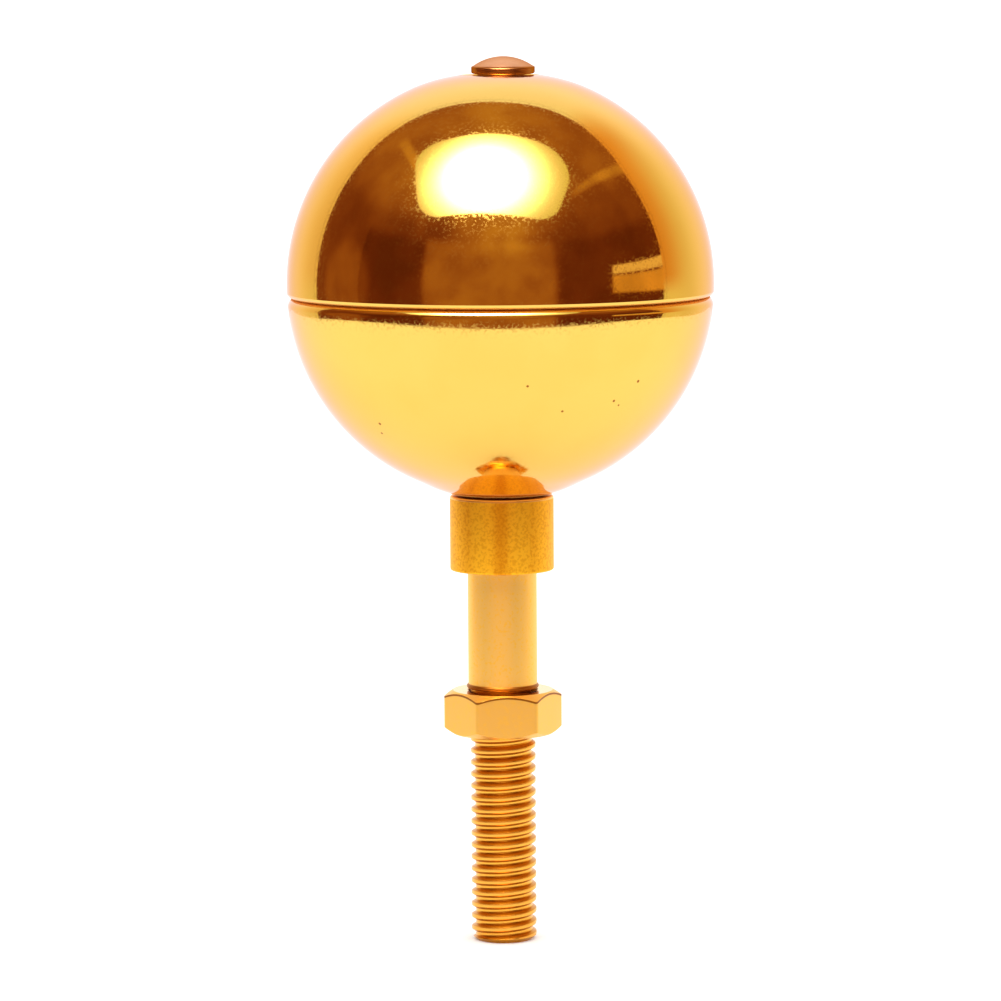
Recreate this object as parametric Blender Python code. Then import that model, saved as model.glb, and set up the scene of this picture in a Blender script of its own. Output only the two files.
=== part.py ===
"""Flagpole finial: a hollow spun ball on a threaded spindle, in gold anodised aluminium.

Metres, +Z up. The origin is on the spindle's axis, in the plane of the hex nut's underside,
which is the face that comes down on top of the pole.
"""

import math

import bmesh
import bpy
from mathutils import Matrix

# Ball: two spun half shells, the lower one's joggled lip inside the upper one's rim
BALL_DIAMETER = 0.0781
BALL_WALL = 0.00163
SEAM_BELOW_CENTRE = 0.0022
SEAM_OPENING = 0.0003
RIM_ROUND = 0.0009
SHOULDER_ROUND = 0.0016
LIP_HEIGHT = 0.004
JOGGLE_HEIGHT = 0.003

# The upper shell's pole, which is pressed a little flat where the button sits
POLE_FLAT_DEPTH = 0.0005
POLE_FLAT_RADIUS = 0.016
BUTTON_SEAT_DEPTH = 0.0004
BUTTON_SEAT_MARGIN = 0.0006

# Top button: a low dome on a flange, with a stem through the shell
BUTTON_FLANGE_DIAMETER = 0.0116
BUTTON_FLANGE_THICKNESS = 0.0013
BUTTON_FLANGE_ROUND = 0.0002
BUTTON_DOME_DIAMETER = 0.011
BUTTON_DOME_HEIGHT = 0.0018
BUTTON_STEM_DIAMETER = 0.005
BUTTON_STEM_REACH = 0.002
BUTTON_OFFSET = 0.0007
BUTTON_LEAN = math.radians(3.0)

# Collar: a plain bored ring with a flat top that the ball stands on
COLLAR_DIAMETER = 0.01905
COLLAR_HEIGHT = 0.0137
COLLAR_EDGE = 0.0003

# Spindle: a plain shank with a bead at its foot, and a right-hand thread below
SHANK_DIAMETER = 0.0127
SHANK_LENGTH = 0.0222
SHANK_REACH = 0.003
SHANK_EDGE = 0.0006
BEAD_DIAMETER = 0.0133
BEAD_HEIGHT = 0.0009
THREAD_DIAMETER = 0.012
THREAD_DEPTH = 0.0008
THREAD_PITCH = 0.0022
THREAD_CREST = 0.00065
THREAD_FLANK_ANGLE = math.radians(32.0)
THREAD_LENGTH = 0.0385
THREAD_TIP_EDGE = 0.0008
THREAD_ROOTING = 0.0003

# Hex nut
NUT_ACROSS_FLATS = 0.01905
NUT_HEIGHT = 0.008
NUT_CORNER_ROUND = 0.0005
NUT_FACE_DIAMETER = 0.0184
NUT_CHAMFER_ANGLE = math.radians(34.0)
NUT_MOUTH_EDGE = 0.0002
NUT_TURN = math.radians(4.3)

# Play between two pieces that touch or pass through one another
FIT_GAP = 0.0003

# Fineness of the round forms
BALL_SIDES = 44
BALL_OUTER_STEPS = 11
BALL_INNER_STEPS = 6
COLLAR_SIDES = 36
SHANK_SIDES = 36
BUTTON_SIDES = 28
THREAD_SIDES = 18
DOME_STEPS = 4
ROUND_STEPS = 2
MERGE_DISTANCE = 0.000001
SHARP_ANGLE = math.radians(30.0)
HEX_SIDES = 6

# Heights and radii that follow from the sizes above
ball_radius = BALL_DIAMETER / 2
ball_inner_radius = ball_radius - BALL_WALL
shank_radius = SHANK_DIAMETER / 2
shank_bore_radius = shank_radius + FIT_GAP
collar_radius = COLLAR_DIAMETER / 2
bead_bottom = NUT_HEIGHT + FIT_GAP
collar_bottom = NUT_HEIGHT + SHANK_LENGTH
collar_top = collar_bottom + COLLAR_HEIGHT
ball_centre = collar_top + FIT_GAP + math.sqrt(ball_radius**2 - shank_bore_radius**2)
seam_height = ball_centre - SEAM_BELOW_CENTRE
shank_top = ball_centre - math.sqrt(ball_inner_radius**2 - shank_bore_radius**2) + SHANK_REACH
thread_radius = THREAD_DIAMETER / 2
thread_root_radius = thread_radius - THREAD_DEPTH
thread_top = bead_bottom + THREAD_ROOTING
flange_radius = BUTTON_FLANGE_DIAMETER / 2
button_seat_radius = flange_radius + BUTTON_OFFSET + BUTTON_SEAT_MARGIN


def clear_scene():
    """Start from an empty scene."""
    for leftover in list(bpy.data.objects):
        bpy.data.objects.remove(leftover)


def anodised(name, colour, roughness):
    """A dyed anodised aluminium, as a plain metallic finish."""
    finish = bpy.data.materials.new(name)
    finish.use_nodes = True
    shader = finish.node_tree.nodes["Principled BSDF"]
    shader.inputs["Base Color"].default_value = (*colour, 1.0)
    shader.inputs["Metallic"].default_value = 1.0
    shader.inputs["Roughness"].default_value = roughness
    finish.diffuse_color = (*colour, 1.0)
    return finish


def make_object(name, form, finish=None):
    """Turn a bmesh into an object of the scene, shaded smooth between its sharp edges."""
    mesh = bpy.data.meshes.new(name)
    form.to_mesh(mesh)
    form.free()
    mesh.shade_smooth()
    mesh.set_sharp_from_angle(angle=SHARP_ANGLE)
    piece = bpy.data.objects.new(name, mesh)
    bpy.context.scene.collection.objects.link(piece)
    if finish:
        mesh.materials.append(finish)
    return piece


def turned_form(outline, sides):
    """Spin an outline of (radius, height) points about Z. One that leaves the axis is a closed ring."""
    form = bmesh.new()
    points = [form.verts.new((radius, 0.0, height)) for radius, height in outline]
    joined = list(zip(points, points[1:]))
    if outline[0][0] > 0:
        joined.append((points[-1], points[0]))
    edges = [form.edges.new(pair) for pair in joined]
    bmesh.ops.spin(form, geom=points + edges, axis=(0, 0, 1), angle=math.tau, steps=sides, use_merge=True)
    bmesh.ops.remove_doubles(form, verts=form.verts, dist=MERGE_DISTANCE)
    bmesh.ops.recalc_face_normals(form, faces=form.faces)
    return form


def arc(centre, radius, start, end, steps):
    """Points (radius, height) on an arc; angles run from the outward direction, up positive."""
    points = []
    for step in range(steps + 1):
        angle = start + (end - start) * step / steps
        points.append((centre[0] + radius * math.cos(angle), centre[1] + radius * math.sin(angle)))
    return points


def sphere_radius_at(radius, height):
    """How far from the axis a sphere about the ball's centre is at a height."""
    return math.sqrt(radius**2 - (height - ball_centre) ** 2)


def pole_flattening(distance):
    """How far the upper shell's pole is pressed down at a distance from the axis."""
    share = min(distance / POLE_FLAT_RADIUS, 1.0)
    return POLE_FLAT_DEPTH * (1.0 - share**2) ** 2


def flattened(points):
    """The points of the upper shell, pressed down towards its pole."""
    return [(distance, height - pole_flattening(distance)) for distance, height in points]


def button_seat_height():
    """The flat that the button sits over, sunk below the shell around it."""
    around = ball_centre + math.sqrt(ball_radius**2 - button_seat_radius**2)
    return around - pole_flattening(button_seat_radius) - BUTTON_SEAT_DEPTH


def hide_tool(tool):
    """A cutter or a guide, which isn't part of the object."""
    tool.hide_render = True
    tool.display_type = "WIRE"
    return tool


def combine(piece, tool, operation):
    """Cut, trim or join a piece with a hidden tool body."""
    step = piece.modifiers.new(tool.name, "BOOLEAN")
    step.operation = operation
    step.solver = "EXACT"
    step.object = hide_tool(tool)


def make_upper_shell(finish):
    """The upper half of the ball, open at its rim and at the small hole for the button's stem."""
    rim = seam_height + SEAM_OPENING / 2
    rim_radius = sphere_radius_at(ball_radius, rim + RIM_ROUND)
    seat = button_seat_height()
    stem_sweep = math.sin(BUTTON_LEAN) * (BALL_WALL + BUTTON_STEM_REACH)
    hole_radius = BUTTON_STEM_DIAMETER / 2 + BUTTON_OFFSET + stem_sweep + FIT_GAP
    seat_slope_end = button_seat_radius + BUTTON_SEAT_DEPTH
    centre = (0.0, ball_centre)
    outer_top = math.acos(seat_slope_end / ball_radius)
    inner_rim = math.asin((rim - ball_centre) / ball_inner_radius)
    inner_top = math.acos(button_seat_radius / ball_inner_radius)
    outline = [(hole_radius, seat), (button_seat_radius, seat)]
    outline += flattened(arc(centre, ball_radius, outer_top, 0.0, BALL_OUTER_STEPS))
    rim_centre = (rim_radius - RIM_ROUND, rim + RIM_ROUND)
    outline += arc(rim_centre, RIM_ROUND, 0.0, -math.pi / 2, ROUND_STEPS)
    outline += flattened(arc(centre, ball_inner_radius, inner_rim, inner_top, BALL_INNER_STEPS))[:-1]
    outline += [(button_seat_radius, seat - BALL_WALL), (hole_radius, seat - BALL_WALL)]
    return make_object("upper_half_shell", turned_form(outline, BALL_SIDES), finish)


def make_lower_shell(finish):
    """The lower half of the ball, with its lip stepped in to fit the upper rim and a hole for the spindle."""
    shoulder = seam_height - SEAM_OPENING / 2
    shoulder_radius = sphere_radius_at(ball_radius, shoulder - SHOULDER_ROUND)
    upper_rim_inside = sphere_radius_at(ball_inner_radius, seam_height)
    lip_radius = upper_rim_inside - FIT_GAP
    lip_top = seam_height + LIP_HEIGHT
    joggle_foot = shoulder - JOGGLE_HEIGHT - BALL_WALL
    centre = (0.0, ball_centre)
    outer_top = math.asin((shoulder - SHOULDER_ROUND - ball_centre) / ball_radius)
    outer_foot = -math.acos(shank_bore_radius / ball_radius)
    inner_foot = -math.acos(shank_bore_radius / ball_inner_radius)
    inner_top = math.asin((joggle_foot - ball_centre) / ball_inner_radius)
    shoulder_centre = (shoulder_radius - SHOULDER_ROUND, shoulder - SHOULDER_ROUND)
    outline = [(lip_radius - BALL_WALL, lip_top), (lip_radius, lip_top), (lip_radius, shoulder)]
    outline += arc(shoulder_centre, SHOULDER_ROUND, math.pi / 2, 0.0, ROUND_STEPS)
    outline += arc(centre, ball_radius, outer_top, outer_foot, BALL_OUTER_STEPS)[1:]
    outline += arc(centre, ball_inner_radius, inner_foot, inner_top, BALL_INNER_STEPS)
    outline += [(lip_radius - BALL_WALL, shoulder - BALL_WALL)]
    return make_object("lower_half_shell", turned_form(outline, BALL_SIDES), finish)


def make_button(finish):
    """The button on top: stem, flange and dome in one, set a little off the axis and leaning forward."""
    stem_radius = BUTTON_STEM_DIAMETER / 2
    dome_radius = BUTTON_DOME_DIAMETER / 2
    dome_curve = (dome_radius**2 + BUTTON_DOME_HEIGHT**2) / (2 * BUTTON_DOME_HEIGHT)
    dome_start = math.atan2(dome_curve - BUTTON_DOME_HEIGHT, dome_radius)
    dome_centre = (0.0, BUTTON_FLANGE_THICKNESS + BUTTON_DOME_HEIGHT - dome_curve)
    edge_centre = (flange_radius - BUTTON_FLANGE_ROUND, BUTTON_FLANGE_THICKNESS - BUTTON_FLANGE_ROUND)
    dome = arc(dome_centre, dome_curve, math.pi / 2, dome_start, DOME_STEPS)
    outline = [(0.0, dome[0][1])] + dome[1:]
    outline += arc(edge_centre, BUTTON_FLANGE_ROUND, math.pi / 2, 0.0, ROUND_STEPS)
    outline += [(flange_radius, 0.0), (stem_radius, 0.0)]
    stem_end = -BALL_WALL - BUTTON_STEM_REACH
    outline += [(stem_radius, stem_end), (0.0, stem_end)]
    button = make_object("top_button", turned_form(outline, BUTTON_SIDES), finish)
    lift = FIT_GAP + flange_radius * math.sin(BUTTON_LEAN)
    button.location = (BUTTON_OFFSET, 0.0, button_seat_height() + lift)
    button.rotation_euler = (BUTTON_LEAN, 0.0, 0.0)
    return button


def make_collar(finish):
    """The ring under the ball, flat on top, its edges broken and its bore clear of the spindle."""
    edge_radius = collar_radius - COLLAR_EDGE
    outline = [(shank_bore_radius, collar_top), (edge_radius, collar_top)]
    outline += [(collar_radius, collar_top - COLLAR_EDGE), (collar_radius, collar_bottom + COLLAR_EDGE)]
    outline += [(edge_radius, collar_bottom), (shank_bore_radius, collar_bottom)]
    return make_object("collar", turned_form(outline, COLLAR_SIDES), finish)


def thread_form():
    """A right-hand threaded rod, a turn longer than needed at both ends, closed over its axis."""
    flank = THREAD_DEPTH * math.tan(THREAD_FLANK_ANGLE)
    root = THREAD_PITCH - THREAD_CREST - 2 * flank
    bottom = -THREAD_LENGTH - 2 * THREAD_PITCH
    turns = math.ceil((thread_top - bottom) / THREAD_PITCH) + 1
    heights = [0.0, root, root + flank, root + flank + THREAD_CREST, THREAD_PITCH]
    radii = [thread_root_radius, thread_root_radius, thread_radius, thread_radius, thread_root_radius]
    form = bmesh.new()
    points = [form.verts.new((radius, 0.0, bottom + height)) for radius, height in zip(radii, heights)]
    edges = [form.edges.new(pair) for pair in zip(points, points[1:])]
    bmesh.ops.spin(
        form,
        geom=points + edges,
        axis=(0, 0, 1),
        dvec=(0, 0, THREAD_PITCH / THREAD_SIDES),
        angle=math.tau * turns,
        steps=THREAD_SIDES * turns,
    )
    bmesh.ops.remove_doubles(form, verts=form.verts, dist=MERGE_DISTANCE)
    middle = bottom + THREAD_PITCH * (turns + 1) / 2
    for half in (-1, 1):
        rim = [edge for edge in form.edges if edge.is_boundary and half * (edge.verts[0].co.z - middle) > 0]
        end_height = sum(edge.verts[0].co.z for edge in rim) / len(rim)
        tip = form.verts.new((0.0, 0.0, end_height))
        for edge in rim:
            form.faces.new((edge.verts[0], edge.verts[1], tip))
    bmesh.ops.recalc_face_normals(form, faces=form.faces)
    return form


def thread_blank():
    """The bar that the thread is cut on: its chamfered tip, and its top inside the bead."""
    tip = -THREAD_LENGTH
    clear_radius = thread_radius + FIT_GAP
    chamfer = THREAD_TIP_EDGE + FIT_GAP
    outline = [(0.0, thread_top), (clear_radius, thread_top), (clear_radius, tip + chamfer)]
    outline += [(clear_radius - chamfer, tip), (0.0, tip)]
    return make_object("thread_blank", turned_form(outline, SHANK_SIDES))


def plain_shank():
    """The plain part of the spindle: shank, chamfered top end and the bead at its foot."""
    bead_centre = (BEAD_DIAMETER / 2 - BEAD_HEIGHT / 2, bead_bottom + BEAD_HEIGHT / 2)
    outline = [(0.0, shank_top), (shank_radius - SHANK_EDGE, shank_top)]
    outline += [(shank_radius, shank_top - SHANK_EDGE), (shank_radius, bead_bottom + BEAD_HEIGHT)]
    outline += arc(bead_centre, BEAD_HEIGHT / 2, math.pi / 3, -math.pi / 2, ROUND_STEPS)
    outline += [(0.0, bead_bottom)]
    return make_object("plain_shank", turned_form(outline, SHANK_SIDES))


def make_spindle(finish):
    """The one-piece spindle: the threaded bar trimmed to length and joined to the plain shank."""
    spindle = make_object("spindle", thread_form(), finish)
    combine(spindle, thread_blank(), "INTERSECT")
    combine(spindle, plain_shank(), "UNION")
    return spindle


def nut_envelope():
    """The double cone that chamfers the nut's corners at both faces."""
    face_radius = NUT_FACE_DIAMETER / 2
    reach = NUT_ACROSS_FLATS
    fall = (reach - face_radius) * math.tan(NUT_CHAMFER_ANGLE)
    outline = [(0.0, NUT_HEIGHT), (face_radius, NUT_HEIGHT), (reach, NUT_HEIGHT - fall)]
    if fall > NUT_HEIGHT / 2:
        waist = face_radius + NUT_HEIGHT / 2 / math.tan(NUT_CHAMFER_ANGLE)
        outline = outline[:2] + [(waist, NUT_HEIGHT / 2)]
    else:
        outline += [(reach, fall)]
    outline += [(face_radius, 0.0), (0.0, 0.0)]
    return make_object("nut_envelope", turned_form(outline, SHANK_SIDES))


def nut_bore():
    """The hole through the nut, clear of the thread, with a chamfered mouth at both ends."""
    bore = thread_radius + FIT_GAP
    over = NUT_MOUTH_EDGE
    mouth = bore + 2 * over
    outline = [(0.0, NUT_HEIGHT + over), (mouth, NUT_HEIGHT + over), (bore, NUT_HEIGHT - over)]
    outline += [(bore, over), (mouth, -over), (0.0, -over)]
    return make_object("nut_bore", turned_form(outline, SHANK_SIDES))


def make_nut(finish):
    """The hex nut, one flat turned almost straight to the front."""
    corner_radius = NUT_ACROSS_FLATS / 2 / math.cos(math.pi / HEX_SIDES)
    middle = Matrix.Translation((0.0, 0.0, NUT_HEIGHT / 2))
    turn = Matrix.Rotation(NUT_TURN + math.pi / HEX_SIDES, 4, "Z")
    form = bmesh.new()
    bmesh.ops.create_cone(
        form,
        cap_ends=True,
        segments=HEX_SIDES,
        radius1=corner_radius,
        radius2=corner_radius,
        depth=NUT_HEIGHT,
        matrix=middle @ turn,
    )
    upright = [edge for edge in form.edges if abs(edge.verts[0].co.z - edge.verts[1].co.z) > NUT_HEIGHT / 2]
    bmesh.ops.bevel(
        form,
        geom=upright,
        offset=NUT_CORNER_ROUND,
        segments=ROUND_STEPS,
        affect="EDGES",
        profile=0.5,
        material=-1,
    )
    nut = make_object("hex_nut", form, finish)
    combine(nut, nut_envelope(), "INTERSECT")
    combine(nut, nut_bore(), "DIFFERENCE")
    return nut


def build():
    """Make the whole finial."""
    clear_scene()
    ball_gold = anodised("ball_gold", (0.90, 0.56, 0.13), 0.12)
    button_copper = anodised("button_copper", (0.80, 0.38, 0.14), 0.22)
    collar_gold = anodised("collar_gold", (0.86, 0.44, 0.05), 0.30)
    spindle_gold = anodised("spindle_gold", (0.88, 0.48, 0.10), 0.28)
    nut_gold = anodised("nut_gold", (0.90, 0.52, 0.14), 0.25)
    make_upper_shell(ball_gold)
    make_lower_shell(ball_gold.copy())
    make_button(button_copper)
    make_collar(collar_gold)
    make_spindle(spindle_gold)
    make_nut(nut_gold)


build()
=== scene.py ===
"""Looks of a gold anodised ball finial: two spun shells, button, collar, spindle and hex nut."""

import math

import bmesh
import bpy
from mathutils import Matrix, Vector, noise


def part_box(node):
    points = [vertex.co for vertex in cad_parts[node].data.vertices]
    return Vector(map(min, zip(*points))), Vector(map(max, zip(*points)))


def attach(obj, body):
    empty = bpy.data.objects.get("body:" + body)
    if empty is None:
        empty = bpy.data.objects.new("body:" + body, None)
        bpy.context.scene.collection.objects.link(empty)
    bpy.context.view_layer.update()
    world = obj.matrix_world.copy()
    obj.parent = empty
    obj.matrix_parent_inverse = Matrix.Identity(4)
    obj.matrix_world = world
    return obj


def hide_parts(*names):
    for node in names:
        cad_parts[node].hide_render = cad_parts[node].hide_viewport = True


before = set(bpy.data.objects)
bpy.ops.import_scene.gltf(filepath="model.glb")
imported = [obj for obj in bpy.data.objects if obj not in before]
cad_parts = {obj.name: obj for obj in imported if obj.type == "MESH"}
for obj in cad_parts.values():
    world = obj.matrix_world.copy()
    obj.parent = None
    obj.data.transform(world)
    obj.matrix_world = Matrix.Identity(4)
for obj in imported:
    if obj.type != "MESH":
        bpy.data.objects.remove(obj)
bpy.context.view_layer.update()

# Sizes that the frame gives, in metres
upper_low, upper_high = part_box("upper_half_shell")
lower_low, lower_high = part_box("lower_half_shell")
button_low, button_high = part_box("top_button")
collar_low, collar_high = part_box("collar")
spindle_low, spindle_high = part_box("spindle")
nut_low, nut_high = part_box("hex_nut")

# Play between two pieces that touch or pass through one another
FIT_GAP = 0.0003

# Ball: sheet, seam, lip, pressed pole and drawn foot
BALL_WALL = 0.00163
SEAM_OPENING = 0.0003
SEAM_CREASE = 0.00004
RIM_ROUND = 0.0009
SHOULDER_ROUND = 0.0016
LIP_HEIGHT = 0.004
JOGGLE_HEIGHT = 0.003
POLE_FLAT_DEPTH = 0.0005
POLE_FLAT_RADIUS = 0.016
BUTTON_SEAT_DEPTH = 0.0004
BUTTON_SEAT_MARGIN = 0.0006
FOOT_DRAW_DEPTH = 0.0004
FOOT_DRAW_RADIUS = 0.0093
FOOT_DRAW_REACH = 0.0067

# Top button
BUTTON_FLANGE_DIAMETER = 0.0116
BUTTON_FLANGE_THICKNESS = 0.0013
BUTTON_FLANGE_ROUND = 0.00025
BUTTON_DOME_DIAMETER = 0.011
BUTTON_DOME_HEIGHT = 0.00178
BUTTON_STEM_DIAMETER = 0.005
BUTTON_STEM_REACH = 0.002
BUTTON_OFFSET = 0.0007
BUTTON_LEAN = math.radians(3.0)

# Collar
COLLAR_EDGE = 0.0004

# Spindle: shank, bead and right-hand thread
SHANK_DIAMETER = 0.0127
SHANK_EDGE = 0.0006
BEAD_HEIGHT = 0.0009
THREAD_DIAMETER = 0.012
THREAD_DEPTH = 0.0008
THREAD_PITCH = 0.0022
THREAD_CREST_SHARE = 0.22
THREAD_ROOT_SHARE = 0.18
THREAD_TIP_EDGE = 0.0008
THREAD_SPARE_TURNS = 2

# Hex nut
NUT_ACROSS_FLATS = 0.01905
NUT_CORNER_ROUND = 0.0005
NUT_FACE_DIAMETER = 0.0184
NUT_CHAMFER_ANGLE = math.radians(34.0)
NUT_MOUTH_EDGE = 0.0002
NUT_EDGE_ROUND = 0.00025
NUT_EDGE_STEPS = 2
NUT_EDGE_ANGLE = math.radians(25.0)
NUT_TURN = math.radians(4.3)
HEX_SIDES = 6

# Fineness of the round forms
BALL_SIDES = 256
BALL_OUTER_STEPS = 56
BALL_INNER_STEPS = 16
ROUND_SIDES = 128
THREAD_SIDES = 60
THREAD_STEPS = 14
EDGE_STEPS = 6
SHARP_ANGLE = math.radians(32.0)
MERGE_DISTANCE = 0.000001

# Hand-spun unevenness of the shells, always inwards
BALL_WAVE_DEPTH = 0.000012
BALL_WAVE_LENGTH = 0.02

# Camera
CAMERA_AIM = Vector((-0.000227, 0.0, 0.0429))
CAMERA_DISTANCE = 0.88
CAMERA_PITCH = math.radians(6.1)
CAMERA_ROLL = math.radians(-0.354)
CAMERA_LENS = 172.63
CAMERA_SENSOR = 36.0
CAMERA_REACH = 20.0

# Radii and heights that follow
ball_radius = (upper_high.x - upper_low.x) / 2
ball_inner_radius = ball_radius - BALL_WALL
shank_radius = SHANK_DIAMETER / 2
shank_bore_radius = shank_radius + FIT_GAP
ball_centre = lower_low.z + math.sqrt(ball_radius**2 - shank_bore_radius**2)
seam_height = upper_low.z - SEAM_OPENING / 2
collar_radius = (collar_high.x - collar_low.x) / 2
bead_radius = (spindle_high.x - spindle_low.x) / 2
bead_bottom = nut_high.z + FIT_GAP
thread_radius = THREAD_DIAMETER / 2
thread_root_radius = thread_radius - THREAD_DEPTH
flange_radius = BUTTON_FLANGE_DIAMETER / 2
button_seat_radius = flange_radius + BUTTON_OFFSET + BUTTON_SEAT_MARGIN


def placed_object(name, form):
    """An object of the scene from a bmesh, which is used up."""
    mesh = bpy.data.meshes.new(name)
    form.to_mesh(mesh)
    form.free()
    made = bpy.data.objects.new(name, mesh)
    bpy.context.scene.collection.objects.link(made)
    return made


def shade(mesh):
    """Shade a mesh smooth between its sharp edges."""
    mesh.shade_smooth()
    mesh.set_sharp_from_angle(angle=SHARP_ANGLE)


def finished_piece(name, form, finish, node):
    """A piece from its bmesh, in its finish and standing for its solid."""
    piece = placed_object(name, form)
    shade(piece.data)
    piece.data.materials.append(finish)
    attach(piece, "root")
    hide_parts(node)
    return piece


def turned_form(outline, sides):
    """Spin an outline of (radius, height) points about Z. One that leaves the axis is a closed ring."""
    form = bmesh.new()
    points = [form.verts.new((radius, 0.0, height)) for radius, height in outline]
    joined = list(zip(points, points[1:]))
    if outline[0][0] > 0:
        joined.append((points[-1], points[0]))
    edges = [form.edges.new(pair) for pair in joined]
    line = points + edges
    bmesh.ops.spin(form, geom=line, axis=(0, 0, 1), angle=math.tau, steps=sides, use_merge=True)
    bmesh.ops.remove_doubles(form, verts=form.verts, dist=MERGE_DISTANCE)
    bmesh.ops.recalc_face_normals(form, faces=form.faces)
    return form


def arc(centre, radius, start, end, steps):
    """Points (radius, height) on an arc; angles run from the outward direction, up positive."""
    points = []
    for step in range(steps + 1):
        angle = start + (end - start) * step / steps
        points.append((centre[0] + radius * math.cos(angle), centre[1] + radius * math.sin(angle)))
    return points


def sphere_radius_at(radius, height):
    """How far from the axis a sphere about the ball's centre is at a height."""
    return math.sqrt(radius**2 - (height - ball_centre) ** 2)


def pole_flattening(distance):
    """How far the upper shell's pole is pressed down at a distance from the axis."""
    share = min(distance / POLE_FLAT_RADIUS, 1.0)
    return POLE_FLAT_DEPTH * (1.0 - share**2) ** 2


def flattened(points):
    """The points of the upper shell, pressed down towards its pole."""
    return [(distance, height - pole_flattening(distance)) for distance, height in points]


def drawn_down(points):
    """The points of the lower shell, its foot drawn down onto the collar."""
    drawn = []
    for distance, height in points:
        away = min(abs(distance - FOOT_DRAW_RADIUS) / FOOT_DRAW_REACH, 1.0)
        drawn.append((distance, height - FOOT_DRAW_DEPTH * (1.0 - away**2) ** 2))
    return drawn


def button_seat_height():
    """The flat that the button sits over, sunk below the shell around it."""
    around = ball_centre + math.sqrt(ball_radius**2 - button_seat_radius**2)
    return around - pole_flattening(button_seat_radius) - BUTTON_SEAT_DEPTH


def spun_unevenness(form):
    """Let the sheet sink by a few microns in broad soft waves, as hand spinning leaves it."""
    middle = Vector((0.0, 0.0, ball_centre))
    for point in form.verts:
        outward = point.co - middle
        if outward.length > ball_radius - BALL_WALL / 2:
            wave = noise.noise(point.co / BALL_WAVE_LENGTH)
            point.co -= outward.normalized() * BALL_WAVE_DEPTH * (0.5 + 0.5 * wave)


def make_upper_shell(finish):
    """The upper half of the ball, its rim rolled in at the seam and its pole pressed for the button."""
    rim = seam_height + SEAM_CREASE / 2
    rim_radius = sphere_radius_at(ball_radius, rim + RIM_ROUND)
    seat = button_seat_height()
    stem_sweep = math.sin(BUTTON_LEAN) * (BALL_WALL + BUTTON_STEM_REACH)
    hole_radius = BUTTON_STEM_DIAMETER / 2 + BUTTON_OFFSET + stem_sweep + FIT_GAP
    seat_slope_end = button_seat_radius + BUTTON_SEAT_DEPTH
    centre = (0.0, ball_centre)
    outer_top = math.acos(seat_slope_end / ball_radius)
    inner_rim = math.asin((rim - ball_centre) / ball_inner_radius)
    inner_top = math.acos(button_seat_radius / ball_inner_radius)
    rim_centre = (rim_radius - RIM_ROUND, rim + RIM_ROUND)
    outline = [(hole_radius, seat), (button_seat_radius, seat)]
    outline += flattened(arc(centre, ball_radius, outer_top, 0.0, BALL_OUTER_STEPS))
    outline += arc(rim_centre, RIM_ROUND, 0.0, -math.pi / 2, EDGE_STEPS * 2)
    outline += flattened(arc(centre, ball_inner_radius, inner_rim, inner_top, BALL_INNER_STEPS))[:-1]
    outline += [(button_seat_radius, seat - BALL_WALL), (hole_radius, seat - BALL_WALL)]
    form = turned_form(outline, BALL_SIDES)
    spun_unevenness(form)
    return finished_piece("upper_spun_shell", form, finish, "upper_half_shell")


def make_lower_shell(finish):
    """The lower half of the ball, a soft shoulder under the seam and its lip inside the upper rim."""
    shoulder = seam_height - SEAM_CREASE / 2
    shoulder_radius = sphere_radius_at(ball_radius, shoulder - SHOULDER_ROUND)
    lip_radius = sphere_radius_at(ball_inner_radius, seam_height) - FIT_GAP
    lip_top = seam_height + LIP_HEIGHT
    joggle_foot = shoulder - JOGGLE_HEIGHT - BALL_WALL
    centre = (0.0, ball_centre)
    outer_top = math.asin((shoulder - SHOULDER_ROUND - ball_centre) / ball_radius)
    outer_foot = -math.acos(shank_bore_radius / ball_radius)
    inner_foot = -math.acos(shank_bore_radius / ball_inner_radius)
    inner_top = math.asin((joggle_foot - ball_centre) / ball_inner_radius)
    shoulder_centre = (shoulder_radius - SHOULDER_ROUND, shoulder - SHOULDER_ROUND)
    outline = [(lip_radius - BALL_WALL, lip_top), (lip_radius, lip_top), (lip_radius, shoulder)]
    outline += arc(shoulder_centre, SHOULDER_ROUND, math.pi / 2, outer_top, EDGE_STEPS * 3)
    outline += drawn_down(arc(centre, ball_radius, outer_top, outer_foot, BALL_OUTER_STEPS)[1:])
    outline += drawn_down(arc(centre, ball_inner_radius, inner_foot, inner_top, BALL_INNER_STEPS))
    outline += [(lip_radius - BALL_WALL, shoulder - BALL_WALL)]
    form = turned_form(outline, BALL_SIDES)
    spun_unevenness(form)
    return finished_piece("lower_spun_shell", form, finish, "lower_half_shell")


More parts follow.
